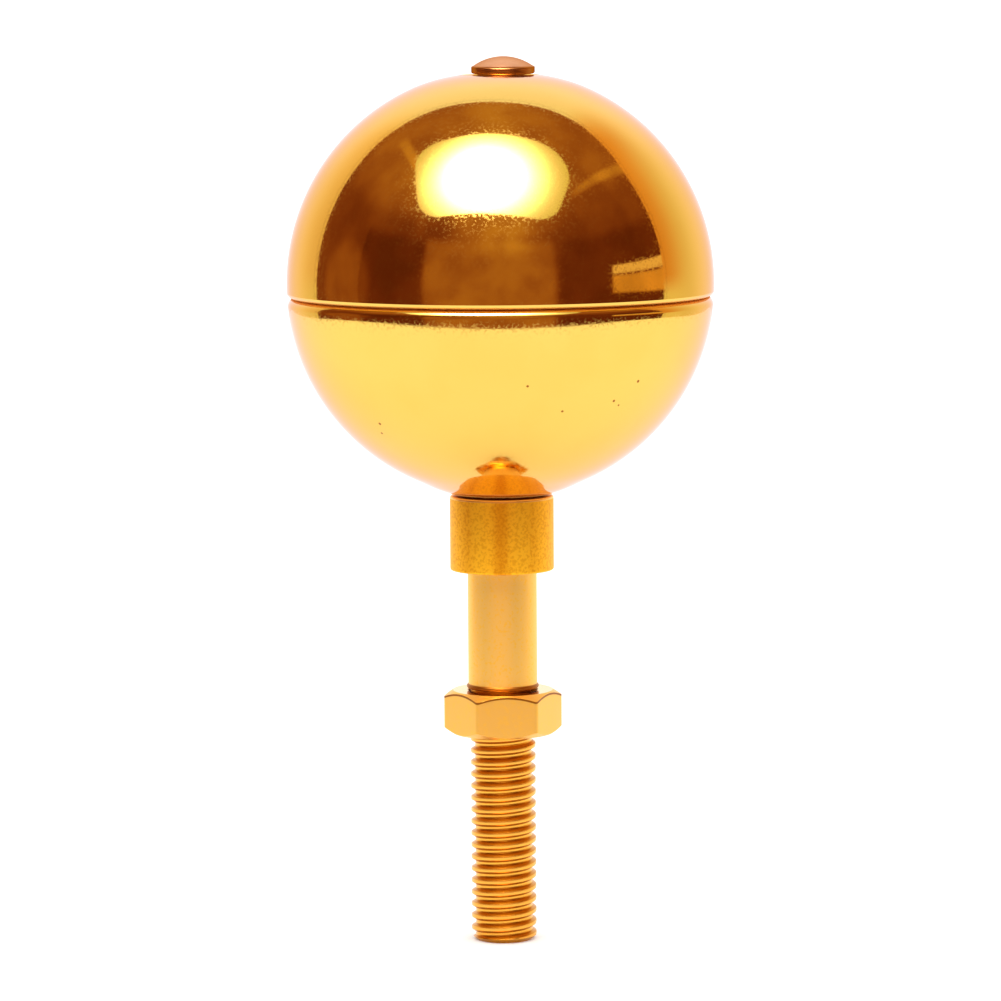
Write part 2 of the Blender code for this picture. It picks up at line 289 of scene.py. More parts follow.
def make_button(finish):
    """The button on top: stem, flange and low dome in one, a little off the axis and leaning forward."""
    stem_radius = BUTTON_STEM_DIAMETER / 2
    dome_radius = BUTTON_DOME_DIAMETER / 2
    dome_curve = (dome_radius**2 + BUTTON_DOME_HEIGHT**2) / (2 * BUTTON_DOME_HEIGHT)
    dome_start = math.atan2(dome_curve - BUTTON_DOME_HEIGHT, dome_radius)
    dome_centre = (0.0, BUTTON_FLANGE_THICKNESS + BUTTON_DOME_HEIGHT - dome_curve)
    edge = BUTTON_FLANGE_ROUND
    edge_centre = (flange_radius - edge, BUTTON_FLANGE_THICKNESS - edge)
    foot_centre = (flange_radius - edge, edge)
    dome = arc(dome_centre, dome_curve, math.pi / 2, dome_start, EDGE_STEPS * 4)
    outline = [(0.0, dome[0][1])] + dome[1:]
    outline += arc(edge_centre, edge, math.pi / 2, 0.0, EDGE_STEPS)
    outline += arc(foot_centre, edge, 0.0, -math.pi / 2, EDGE_STEPS)
    outline += [(stem_radius, 0.0)]
    stem_end = -BALL_WALL - BUTTON_STEM_REACH
    outline += [(stem_radius, stem_end), (0.0, stem_end)]
    form = turned_form(outline, ROUND_SIDES)
    lift = FIT_GAP + flange_radius * math.sin(BUTTON_LEAN)
    seat = Matrix.Translation((BUTTON_OFFSET, 0.0, button_seat_height() + lift))
    lean = Matrix.Rotation(BUTTON_LEAN, 4, "X")
    bmesh.ops.transform(form, matrix=seat @ lean, verts=form.verts)
    return finished_piece("riveted_button", form, finish, "top_button")


def make_collar(finish):
    """The ring under the ball, flat on top and its edges just broken."""
    edge_radius = collar_radius - COLLAR_EDGE
    outline = [(shank_bore_radius, collar_high.z)]
    outline += arc((edge_radius, collar_high.z - COLLAR_EDGE), COLLAR_EDGE, math.pi / 2, 0.0, EDGE_STEPS)
    outline += arc((edge_radius, collar_low.z + COLLAR_EDGE), COLLAR_EDGE, 0.0, -math.pi / 2, EDGE_STEPS)
    outline += [(shank_bore_radius, collar_low.z)]
    form = turned_form(outline, ROUND_SIDES)
    return finished_piece("turned_collar", form, finish, "collar")


def thread_profile():
    """One pitch of the thread as (radius, height): rounded crest and root between even flanks."""
    points = []
    for step in range(THREAD_STEPS + 1):
        share = step / THREAD_STEPS
        rise = 1.0 - abs(2.0 * share - 1.0)
        flank = (rise - THREAD_ROOT_SHARE) / (1.0 - THREAD_CREST_SHARE - THREAD_ROOT_SHARE)
        flank = min(max(flank, 0.0), 1.0)
        eased = flank * flank * (3.0 - 2.0 * flank)
        points.append((thread_root_radius + THREAD_DEPTH * eased, THREAD_PITCH * share))
    return points


def threaded_bar():
    """A right-hand threaded bar, open at its top under the bead and closed at its chamfered tip."""
    tip = spindle_low.z
    bottom = tip - THREAD_SPARE_TURNS * THREAD_PITCH
    turns = math.ceil((bead_bottom - bottom) / THREAD_PITCH) + THREAD_SPARE_TURNS
    form = bmesh.new()
    points = [form.verts.new((radius, 0.0, bottom + height)) for radius, height in thread_profile()]
    edges = [form.edges.new(pair) for pair in zip(points, points[1:])]
    bmesh.ops.spin(
        form,
        geom=points + edges,
        axis=(0, 0, 1),
        dvec=(0, 0, THREAD_PITCH / THREAD_SIDES),
        angle=math.tau,
        steps=THREAD_SIDES,
    )
    one_turn = form.verts[:] + form.edges[:] + form.faces[:]
    for turn in range(1, turns):
        copy = bmesh.ops.duplicate(form, geom=one_turn)["geom"]
        corners = [item for item in copy if isinstance(item, bmesh.types.BMVert)]
        bmesh.ops.translate(form, vec=(0, 0, turn * THREAD_PITCH), verts=corners)
    bmesh.ops.remove_doubles(form, verts=form.verts, dist=MERGE_DISTANCE)
    for point in form.verts:
        reach = Vector((point.co.x, point.co.y)).length
        allowed = thread_radius - max(THREAD_TIP_EDGE - (point.co.z - tip), 0.0)
        if reach > allowed:
            point.co.x *= allowed / reach
            point.co.y *= allowed / reach
    cut_level(form, bead_bottom, 1)
    end = cut_level(form, tip, -1)
    bmesh.ops.contextual_create(form, geom=end)
    return form


def cut_level(form, height, side):
    """Cut a bar off at a height, side 1 above it and -1 below, and give the edges of the open end."""
    bmesh.ops.bisect_plane(
        form,
        geom=form.verts[:] + form.edges[:] + form.faces[:],
        dist=MERGE_DISTANCE,
        plane_co=(0, 0, height),
        plane_no=(0, 0, side),
        clear_outer=True,
    )
    rims = [edge for edge in form.edges if edge.is_boundary]
    return [edge for edge in rims if abs(edge.verts[0].co.z - height) < FIT_GAP / 2]


def make_spindle(finish):
    """The one-piece spindle: chamfered top end, plain shank, bead at its foot and thread below."""
    top = spindle_high.z
    bead_centre = (bead_radius - BEAD_HEIGHT / 2, bead_bottom + BEAD_HEIGHT / 2)
    outline = [(0.0, top), (shank_radius - SHANK_EDGE, top), (shank_radius, top - SHANK_EDGE)]
    outline += [(shank_radius, bead_bottom + BEAD_HEIGHT)]
    outline += arc(bead_centre, BEAD_HEIGHT / 2, math.pi / 3, -math.pi / 2, EDGE_STEPS)
    form = threaded_bar()
    points = [form.verts.new((radius, 0.0, height)) for radius, height in outline]
    edges = [form.edges.new(pair) for pair in zip(points, points[1:])]
    line = points + edges
    bmesh.ops.spin(form, geom=line, axis=(0, 0, 1), angle=math.tau, steps=ROUND_SIDES, use_merge=True)
    bmesh.ops.remove_doubles(form, verts=form.verts, dist=MERGE_DISTANCE)
    rims = [edge for edge in form.edges if edge.is_boundary]
    bmesh.ops.triangle_fill(form, edges=rims, use_beauty=True)
    bmesh.ops.recalc_face_normals(form, faces=form.faces)
    return finished_piece("threaded_spindle", form, finish, "spindle")


def combined(piece, tool, operation):
    """Cut or trim a piece with a tool body that then goes."""
    step = piece.modifiers.new(tool.name, "BOOLEAN")
    step.operation = operation
    step.solver = "EXACT"
    step.object = tool
    bpy.context.view_layer.update()
    graph = bpy.context.evaluated_depsgraph_get()
    mesh = bpy.data.meshes.new_from_object(piece.evaluated_get(graph))
    piece.modifiers.clear()
    piece.data = mesh
    bpy.data.objects.remove(tool)
    shade(mesh)


def nut_envelope():
    """The double cone that chamfers the nut's corners at both faces."""
    face_radius = NUT_FACE_DIAMETER / 2
    height = nut_high.z
    fall = (NUT_ACROSS_FLATS - face_radius) * math.tan(NUT_CHAMFER_ANGLE)
    if fall > height / 2:
        waist = face_radius + height / 2 / math.tan(NUT_CHAMFER_ANGLE)
        belt = [(waist, height / 2)]
    else:
        belt = [(NUT_ACROSS_FLATS, height - fall), (NUT_ACROSS_FLATS, fall)]
    outline = [(0.0, height), (face_radius, height)] + belt + [(face_radius, 0.0), (0.0, 0.0)]
    return turned_form(outline, ROUND_SIDES)


def nut_bore():
    """The hole through the nut, clear of the thread, with a chamfered mouth at both ends."""
    bore = thread_radius + FIT_GAP
    height = nut_high.z
    over = NUT_MOUTH_EDGE
    mouth = bore + 2 * over
    outline = [(0.0, height + over), (mouth, height + over), (bore, height - over)]
    outline += [(bore, over), (mouth, -over), (0.0, -over)]
    return turned_form(outline, ROUND_SIDES)


def make_nut(finish):
    """The hex nut, one flat turned almost straight to the front, its edges just broken."""
    height = nut_high.z
    corner_radius = NUT_ACROSS_FLATS / 2 / math.cos(math.pi / HEX_SIDES)
    middle = Matrix.Translation((0.0, 0.0, height / 2))
    turn = Matrix.Rotation(NUT_TURN + math.pi / HEX_SIDES, 4, "Z")
    form = bmesh.new()
    bmesh.ops.create_cone(
        form,
        cap_ends=True,
        segments=HEX_SIDES,
        radius1=corner_radius,
        radius2=corner_radius,
        depth=height,
        matrix=middle @ turn,
    )
    upright = [edge for edge in form.edges if abs(edge.verts[0].co.z - edge.verts[1].co.z) > height / 2]
    bmesh.ops.bevel(
        form,
        geom=upright,
        offset=NUT_CORNER_ROUND,
        segments=EDGE_STEPS,
        affect="EDGES",
        profile=0.5,
        material=-1,
    )
    piece = finished_piece("jam_nut", form, finish, "hex_nut")
    combined(piece, placed_object("nut_envelope", nut_envelope()), "INTERSECT")
    combined(piece, placed_object("nut_bore", nut_bore()), "DIFFERENCE")
    rounding = piece.modifiers.new("broken_edges", "BEVEL")
    rounding.width = NUT_EDGE_ROUND
    rounding.segments = NUT_EDGE_STEPS
    rounding.limit_method = "ANGLE"
    rounding.angle_limit = NUT_EDGE_ANGLE
    rounding.harden_normals = True
    return piece


class Finish:
    """A material under construction: its nodes and links."""

    def __init__(self, name):
        self.material = bpy.data.materials.new(name)
        self.material.use_nodes = True
        self.tree = self.material.node_tree
        self.shader = self.tree.nodes["Principled BSDF"]
        self.place = self.node("ShaderNodeTexCoord").outputs["Object"]

    def node(self, kind, **settings):
        """A new node with its settings."""
        made = self.tree.nodes.new(kind)
        for setting, value in settings.items():
            setattr(made, setting, value)
        return made

    def put(self, socket, value):
        """Link an output to a socket, or set a plain number or colour there."""
        if isinstance(value, bpy.types.NodeSocket):
            self.tree.links.new(value, socket)
        elif socket.type == "RGBA":
            socket.default_value = (*value, 1.0)
        else:
            socket.default_value = value

    def axes(self, vector):
        """The X, Y and Z of a vector."""
        made = self.node("ShaderNodeSeparateXYZ")
        self.put(made.inputs[0], vector)
        return made.outputs

    def math(self, operation, *values):
        """A sum, product or the like."""
        made = self.node("ShaderNodeMath", operation=operation)
        for socket, value in zip(made.inputs, values):
            self.put(socket, value)
        return made.outputs[0]

    def product(self, first, *others):
        """Several values multiplied."""
        for other in others:
            first = self.math("MULTIPLY", first, other)
        return first

    def grain(self, scale, detail, stretch=(1.0, 1.0, 1.0)):
        """Noise of about scale grains a metre, stretched along the piece's own axes."""
        placed = self.node("ShaderNodeMapping")
        self.put(placed.inputs["Vector"], self.place)
        self.put(placed.inputs["Scale"], stretch)
        made = self.node("ShaderNodeTexNoise")
        self.put(made.inputs["Vector"], placed.outputs[0])
        self.put(made.inputs["Scale"], scale)
        self.put(made.inputs["Detail"], detail)
        return made.outputs["Fac"]

    def span(self, value, low, high, to_low=0.0, to_high=1.0, smooth=True):
        """Bring a value from one range into another, eased at both ends."""
        made = self.node("ShaderNodeMapRange")
        made.interpolation_type = "SMOOTHSTEP" if smooth else "LINEAR"
        names = ("Value", "From Min", "From Max", "To Min", "To Max")
        for name, number in zip(names, (value, low, high, to_low, to_high)):
            self.put(made.inputs[name], number)
        return made.outputs[0]

    def blend(self, share, first, second):
        """A colour between two, by a share."""
        made = self.node("ShaderNodeMix", data_type="RGBA")
        for socket, value in ((0, share), (6, first), (7, second)):
            self.put(made.inputs[socket], value)
        return made.outputs[2]

    def within(self, value, low, high, fade):
        """One between two limits, fading out over a width at both."""
        rise = self.span(value, low - fade, low + fade)
        return self.product(rise, self.span(value, high - fade, high + fade, 1.0, 0.0))

    def bump(self, height, depth):
        """Relief of a depth in metres."""
        made = self.node("ShaderNodeBump")
        self.put(made.inputs["Strength"], 1.0)
        self.put(made.inputs["Distance"], depth)
        self.put(made.inputs["Height"], height)
        return made.outputs[0]

    def metal(self, colour, roughness, relief, edge_tint=(1.0, 1.0, 1.0)):
        """Set the shader as bare dyed metal, with its tint at grazing angles."""
        inputs = self.shader.inputs
        self.put(inputs["Specular Tint"], edge_tint)
        self.put(inputs["Base Color"], colour)
        self.put(inputs["Roughness"], roughness)
        self.put(inputs["Metallic"], 1.0)
        self.put(inputs["Normal"], relief)
        return self.material

    def lamp(self, colour, strength):
        """Make the material pure light instead of a surface."""
        self.tree.nodes.remove(self.shader)
        made = self.node("ShaderNodeEmission")
        self.put(made.inputs["Color"], colour)
        self.put(made.inputs["Strength"], strength)
        self.put(self.tree.nodes["Material Output"].inputs["Surface"], made.outputs[0])
        return self.material


# Colours of the finishes and of the light and shade painted on them, as linear red, green and blue
BALL_GOLD = (0.80, 0.51, 0.105)
BALL_GOLD_DEEP = (0.79, 0.49, 0.095)
BALL_EDGE_TINT = (0.88, 0.72, 0.85)
CREASE_GOLD = (0.90, 0.50, 0.12)
SPECK_BROWN = (0.30, 0.10, 0.02)
COLLAR_GOLD = (1.0, 0.53, 0.025)
# Darker gold of the painted reflection streaks on the collar, and of its fine grain
COLLAR_REFLECTION_AND_GRAIN_GOLD = (0.74, 0.29, 0.008)
# Paler gold painted on the collar's upper edge as a highlight
COLLAR_EDGE_HIGHLIGHT = (1.0, 0.62, 0.22)
SHANK_GOLD = (0.96, 0.57, 0.13)
THREAD_CREST = (0.88, 0.42, 0.06)
# Darker gold painted on the thread's flanks as shade
THREAD_FLANK_SHADE = (0.58, 0.23, 0.01)
THREAD_ROOT = (0.86, 0.42, 0.05)
# Dark brown painted over the bead as shade, dimming its glint
BEAD_SHADE_BROWN = (0.38, 0.13, 0.015)
NUT_GOLD = (0.88, 0.48, 0.095)
# Dark line painted along the nut's chamfer edges as shade
NUT_EDGE_SHADE = (0.28, 0.09, 0.01)
BUTTON_COPPER = (0.68, 0.38, 0.23)
# Darker brown painted on the button's band as shade
BUTTON_BAND_SHADE = (0.42, 0.16, 0.05)
BUTTON_EDGE_TINT = (0.5, 0.32, 0.25)

# Roughness of the finishes
BALL_HAZE = (0.045, 0.065)
STIPPLE_HAZE = 0.09
UNBUFFED_HAZE = 0.4
BUTTON_BAND_HAZE = 0.28
BUTTON_DOME_HAZE = 0.36
COLLAR_HAZE = 0.52
COLLAR_EDGE_HAZE = 0.35
THREAD_HAZE = 0.28
SHANK_HAZE = 0.42
NUT_HAZE = 0.36
NUT_TOP_HAZE = 0.14

# Depth of the finest relief, in metres
BALL_RELIEF = 0.0000009
BUTTON_RELIEF = 0.000002
COLLAR_RELIEF = 0.000002
SPINDLE_RELIEF = 0.000003
NUT_RELIEF = 0.000002

# Unbuffed places of the ball: below and above the seam, and up from the foot, in metres
CREASE_BELOW = 0.0004
CREASE_ABOVE = 0.0003
CREASE_FADE = 0.0001
FOOT_FULL = 0.0003
FOOT_END = 0.0006

# Upright streaks of painted reflection on the collar: X from and to, in metres, and strength
COLLAR_REFLECTION_STREAKS = ((-0.0014, 0.0010, 1.0), (-0.0070, -0.0054, 0.5), (0.0048, 0.0064, 0.4))
COLLAR_REFLECTION_FADE = 0.0010
COLLAR_REFLECTION_SHARE = 0.7
COLLAR_GRAIN_SHARE = 0.55

# Line of painted shade along the nut's chamfers: metres above and below their edge
NUT_LINE_ABOVE = 0.00028
NUT_LINE_BELOW = 0.00036
NUT_LINE_FADE = 0.00008

# Specks in the ball's finish: azimuth from the front, elevation (degrees), radius (metres)
SPECKS = (
    (7.5, -24.0, 0.00018),
    (43.0, -24.0, 0.00022),
    (36.0, -29.5, 0.0002),
    (38.5, -31.0, 0.00015),
    (19.0, -32.0, 0.00018),
    (-44.0, -37.0, 0.00022),
    (-46.0, -40.5, 0.00018),
)
SPECK_EDGE = 1.6


def direction(azimuth, elevation):
    """The direction at an azimuth from the front and an elevation, in radians."""
    level = math.cos(elevation)
    return Vector((math.sin(azimuth) * level, -math.cos(azimuth) * level, math.sin(elevation)))


def speck_places():
    """The specks as points on the ball with their radii."""
    middle = Vector((0.0, 0.0, ball_centre))
    places = []
    for azimuth, elevation, radius in SPECKS:
        out = direction(math.radians(azimuth), math.radians(elevation))
        places.append((middle + out * ball_radius, radius))
    return places


def ball_finish(name):
    """Buffed and gold anodised sheet: a mirror with a fine stipple, faint clouds and a few specks."""
    finish = Finish(name)
    height = finish.axes(finish.place)["Z"]
    cloud = finish.span(finish.grain(60.0, 3.0), 0.35, 0.7)
    colour = finish.blend(cloud, BALL_GOLD, BALL_GOLD_DEEP)
    for place, radius in speck_places():
        away = finish.node("ShaderNodeVectorMath", operation="DISTANCE")
        finish.put(away.inputs[0], finish.place)
        finish.put(away.inputs[1], place)
        clear = finish.span(away.outputs["Value"], radius, SPECK_EDGE * radius)
        colour = finish.blend(clear, SPECK_BROWN, colour)
    crease = finish.within(height, seam_height - CREASE_BELOW, seam_height + CREASE_ABOVE, CREASE_FADE)
    foot = finish.span(height, lower_low.z + FOOT_FULL, lower_low.z + FOOT_END, 1.0, 0.0)
    unbuffed = finish.math("MAXIMUM", crease, foot)
    colour = finish.blend(unbuffed, colour, CREASE_GOLD)
    stipple = finish.span(finish.grain(2200.0, 0.0), 0.45, 0.72)
    haze = finish.span(finish.grain(140.0, 4.0), 0.3, 0.75, *BALL_HAZE)
    haze = finish.math("MULTIPLY_ADD", stipple, STIPPLE_HAZE, haze)
    haze = finish.math("MULTIPLY_ADD", unbuffed, UNBUFFED_HAZE, haze)
    relief = finish.bump(finish.grain(1500.0, 0.0), BALL_RELIEF)
    return finish.metal(colour, haze, relief, BALL_EDGE_TINT)


def button_finish():
    """Anodised coppery: a pale satin dome over a band darkened with painted shade."""
    finish = Finish("button_copper_anodised")
    height = finish.axes(finish.place)["Z"]
    band_top = button_high.z - BUTTON_DOME_HEIGHT
    dome = finish.span(height, band_top - BUTTON_FLANGE_ROUND, band_top)
    # Painted shade: the band under the dome darker brown than the dome
    colour = finish.blend(dome, BUTTON_BAND_SHADE, BUTTON_COPPER)
    haze = finish.span(dome, 0.0, 1.0, BUTTON_BAND_HAZE, BUTTON_DOME_HAZE)
    relief = finish.bump(finish.grain(2500.0, 2.0), BUTTON_RELIEF)
    return finish.metal(colour, haze, relief, BUTTON_EDGE_TINT)


def collar_finish():
    """Turned bar, anodised deep gold, with painted reflections in soft upright streaks, a fine grain and a
    painted highlight on its upper edge.
    """
    finish = Finish("collar_gold_anodised")
    across, _, height = finish.axes(finish.place)
    reflection_and_grain = 0.0
    # Painted reflection: darker upright streaks at fixed places across the collar
    for start, end, strength in COLLAR_REFLECTION_STREAKS:
        reflection_streak = finish.within(across, start, end, COLLAR_REFLECTION_FADE)
        reflection_and_grain = finish.math("MULTIPLY_ADD", reflection_streak, strength, reflection_and_grain)
    grain = finish.span(finish.grain(2000.0, 1.0), 0.42, 0.66, 0.0, COLLAR_GRAIN_SHARE)
    # The painted reflection streaks and the real fine grain together darken the gold
    reflection_and_grain = finish.math("MULTIPLY_ADD", reflection_and_grain, COLLAR_REFLECTION_SHARE, grain)
    colour = finish.blend(reflection_and_grain, COLLAR_GOLD, COLLAR_REFLECTION_AND_GRAIN_GOLD)
    # Painted highlight: paler gold on the collar's rounded upper edge, where it is also less rough
    edge = finish.span(height, collar_high.z - 1.4 * COLLAR_EDGE, collar_high.z - 0.9 * COLLAR_EDGE)
    colour = finish.blend(edge, colour, COLLAR_EDGE_HIGHLIGHT)
    haze = finish.span(edge, 0.0, 1.0, COLLAR_HAZE, COLLAR_EDGE_HAZE)
    rings = finish.bump(finish.grain(1500.0, 1.0, (0.15, 0.15, 4.0)), COLLAR_RELIEF)
    return finish.metal(colour, haze, rings)


def distance_from_axis(finish):
    """How far a point of a piece is from the spindle's axis."""
    place = finish.axes(finish.place)
    across = finish.math("POWER", place["X"], 2.0)
    along = finish.math("POWER", place["Y"], 2.0)
    return finish.math("SQRT", finish.math("ADD", across, along))


def spindle_finish():
    """Satin anodised bar: pale with a faint speckle, with painted shade at the bead and on the thread's
    flanks.
    """
    finish = Finish("spindle_gold_anodised")
    height = finish.axes(finish.place)["Z"]
    rise = finish.span(distance_from_axis(finish), thread_root_radius, thread_radius, smooth=False)
    # Painted shade: the thread's flanks darker than its crest and root
    thread = finish.blend(finish.span(rise, 0.02, 0.12), THREAD_ROOT, THREAD_FLANK_SHADE)
    thread = finish.blend(finish.span(rise, 0.88, 0.98), thread, THREAD_CREST)
    speckle = finish.span(finish.grain(1800.0, 2.0), 0.5, 0.72, 0.0, 0.6)
    shank = finish.blend(speckle, SHANK_GOLD, COLLAR_GOLD)
    bead_top = bead_bottom + BEAD_HEIGHT
    # Painted shade: the whole bead dark brown, the shank above it in its own gold
    above_bead = finish.span(height, bead_top - 0.1 * BEAD_HEIGHT, bead_top + 0.1 * BEAD_HEIGHT)
    above = finish.blend(above_bead, BEAD_SHADE_BROWN, shank)
    under_bead = bead_bottom - FIT_GAP / 3
    colour = finish.blend(finish.span(height, under_bead, bead_bottom), thread, above)
    haze = finish.span(height, under_bead, bead_bottom, THREAD_HAZE, SHANK_HAZE)
    relief = finish.bump(finish.grain(2600.0, 1.0, (1.0, 1.0, 0.7)), SPINDLE_RELIEF)
    return finish.metal(colour, haze, relief)


def nut_finish():
    """Hex bar, anodised: satin with a fine even grain, and a line of painted shade along the edges of its
    faces.
    """
    finish = Finish("nut_gold_anodised")
    height = finish.axes(finish.place)["Z"]
    slope = math.tan(NUT_CHAMFER_ANGLE)
    cone_top = nut_high.z + NUT_FACE_DIAMETER / 2 * slope
    chamfer = finish.math("MULTIPLY_ADD", distance_from_axis(finish), -slope, cone_top)
    below = finish.math("SUBTRACT", chamfer, height)
    upward = finish.axes(finish.node("ShaderNodeNewGeometry").outputs["True Normal"])["Z"]
    upright = finish.span(upward, 0.45, 0.75, 1.0, 0.0)
    # Painted shade: a dark line on the flats along the chamfer edges, none on the faces turned upwards
    line = finish.product(upright, finish.within(below, -NUT_LINE_ABOVE, NUT_LINE_BELOW, NUT_LINE_FADE))
    cloud = finish.span(finish.grain(1200.0, 2.0), 0.45, 0.75, 0.0, 0.25)
    colour = finish.blend(cloud, NUT_GOLD, COLLAR_GOLD)
    colour = finish.blend(line, colour, NUT_EDGE_SHADE)
    haze = finish.span(upward, 0.90, 0.98, NUT_HAZE, NUT_TOP_HAZE)
    relief = finish.bump(finish.grain(2600.0, 1.0), NUT_RELIEF)
    return finish.metal(colour, haze, relief)


# Studio: white ground, a screen that only reflections see, and a softbox overhead
FLOOR_FRONT_RADIUS = 0.55
FLOOR_FRONT_CENTRE = 0.20
FLOOR_BACK = 2.5
FLOOR_STEPS = 64
FLOOR_WHITE = (0.92, 0.92, 0.92)
FLOOR_ROUGHNESS = 0.9
SCREEN_RADIUS = 1.2
SCREEN_SUBDIVISIONS = 5
SOFTBOX_DISTANCE = 0.6
SOFTBOX_AZIMUTH = math.radians(-8.0)
SOFTBOX_ELEVATION = math.radians(62.0)
SOFTBOX_HALF_WIDTH = 0.69
SOFTBOX_NEAR = 0.43
SOFTBOX_FAR = -0.485
SOFTBOX_BOW = 0.1
WORLD_WHITE = 1.6

# Softbox's glow: shift and squeeze of its hot spot, as shares of its distance, and its fall-off
HOT_SPOT_SHIFT = (0.055 * SOFTBOX_DISTANCE, -0.035 * SOFTBOX_DISTANCE, 0.0)
HOT_SPOT_SQUEEZE = (0.92, 0.95, 0.0)
HOT_SPOT_REACH = 0.8
HOT_SPOT_FALL = 4.5
HOT_SPOT_HEAT = 105.0
SOFTBOX_LEAST = 1.0
SOFTBOX_MOST = 30.0
SOFTBOX_WHITE = (1.0, 0.97, 0.90)
SOFTBOX_WARM = (1.0, 0.95, 0.45)

# Softbox's corners, right round: side, edge, which way is inwards, radius
SOFTBOX_CORNERS = (
    (1, SOFTBOX_NEAR, -1, 0.22),
    (-1, SOFTBOX_NEAR, -1, 0.22),
    (-1, SOFTBOX_FAR, 1, 0.18),
    (1, SOFTBOX_FAR, 1, 0.40),
)

# Where the reflected dark side ends: Y of the direction at an X
BORDER = ((-1.0, 0.39), (-0.8, 0.44), (-0.45, 0.495), (0.0, 0.43), (0.35, 0.39),
          (0.6, 0.27), (0.8, 0.155), (1.0, 0.11))
BORDER_FADE = 0.004

# Colours of the reflected studio's light
DAYLIGHT_WHITE = (1.0, 1.0, 1.0)
DAYLIGHT_SIDE = (1.0, 0.88, 0.50)
DAYLIGHT_BORDER = (1.0, 0.76, 0.42)
DAYLIGHT_RIGHT_BORDER = (0.85, 0.40, 0.10)
SHADE_DIM = (0.385, 0.08, 0.03)
SHADE_BRIGHT = (0.385, 0.19, 0.045)
WINDOW_LIGHT = (0.58, 0.40, 0.20)
WINDOW_GAIN = 1.3
LEAST_DIVISOR = 0.05


def only_reflections(card):
    """Let a card show in reflections alone and cast no shadow."""
    card.visible_camera = False
    card.visible_diffuse = False
    card.visible_transmission = False
    card.visible_volume_scatter = False
    card.visible_shadow = False


def studio_object(name, form, material):
    """An object of the studio from a bmesh."""
    made = placed_object(name, form)
    made.data.materials.append(material)
    return made


def make_floor():
    """The pale ground: a broad sheet, rounded at the front."""
    rim = [(FLOOR_FRONT_RADIUS, FLOOR_BACK)]
    rim += arc((0.0, FLOOR_FRONT_CENTRE), FLOOR_FRONT_RADIUS, 0.0, -math.pi, FLOOR_STEPS)
    rim += [(-FLOOR_FRONT_RADIUS, FLOOR_BACK)]
    form = bmesh.new()
    form.faces.new([form.verts.new((x, y, spindle_low.z)) for x, y in rim])
    bmesh.ops.recalc_face_normals(form, faces=form.faces)
    white = Finish("white_ground")
    white.put(white.shader.inputs["Base Color"], FLOOR_WHITE)
    white.put(white.shader.inputs["Roughness"], FLOOR_ROUGHNESS)
    white.put(white.shader.inputs["Specular IOR Level"], 0.0)
    floor = studio_object("ground", form, white.material)


def past_border(light, x, y):
    """How far a direction is behind the border of the dark side."""
    edge = light.node("ShaderNodeFloatCurve")
    light.put(edge.inputs["Value"], light.span(x, -1.0, 1.0, smooth=False))
    curve = edge.mapping.curves[0]
    for point, place in zip(curve.points, (BORDER[0], BORDER[-1])):
        point.location = ((place[0] + 1) / 2, place[1])
    for across, behind in BORDER[1:-1]:
        curve.points.new((across + 1) / 2, behind)
    edge.mapping.update()
    return light.math("SUBTRACT", y, edge.outputs[0])


def white_surroundings(light, x, y, z, past):
    """Strength and colour of the white: brighter overhead and behind, warmer at the sides.

    It is warmer again near the border, most of all at the right, with a thin shadow line along it.
    """
    aside = light.math("ABSOLUTE", x)
    shadow_line = light.math("MULTIPLY_ADD", light.within(past, 0.028, 0.042, 0.004), -0.2, 1.2)
    overhead = light.span(z, 0.2, 0.95, 0.85, 1.0)
    sides = light.span(aside, 0.2, 0.6, 1.0, 0.96)
    behind = light.span(y, 0.45, 0.8, 1.04, 1.3)
    strength = light.product(overhead, shadow_line, sides, behind)
    upper = light.span(z, -0.1, 0.05)
    both = light.product(light.span(past, 0.0, 0.32, 1.0, 0.0), light.span(aside, 0.3, 0.6), upper)
    right = light.product(light.span(past, 0.0, 0.45, 1.0, 0.0), light.span(x, 0.3, 0.6), upper)
    colour = light.blend(light.span(aside, 0.1, 0.9), DAYLIGHT_WHITE, DAYLIGHT_SIDE)
    colour = light.blend(both, colour, DAYLIGHT_BORDER)
    return strength, light.blend(right, colour, DAYLIGHT_RIGHT_BORDER)


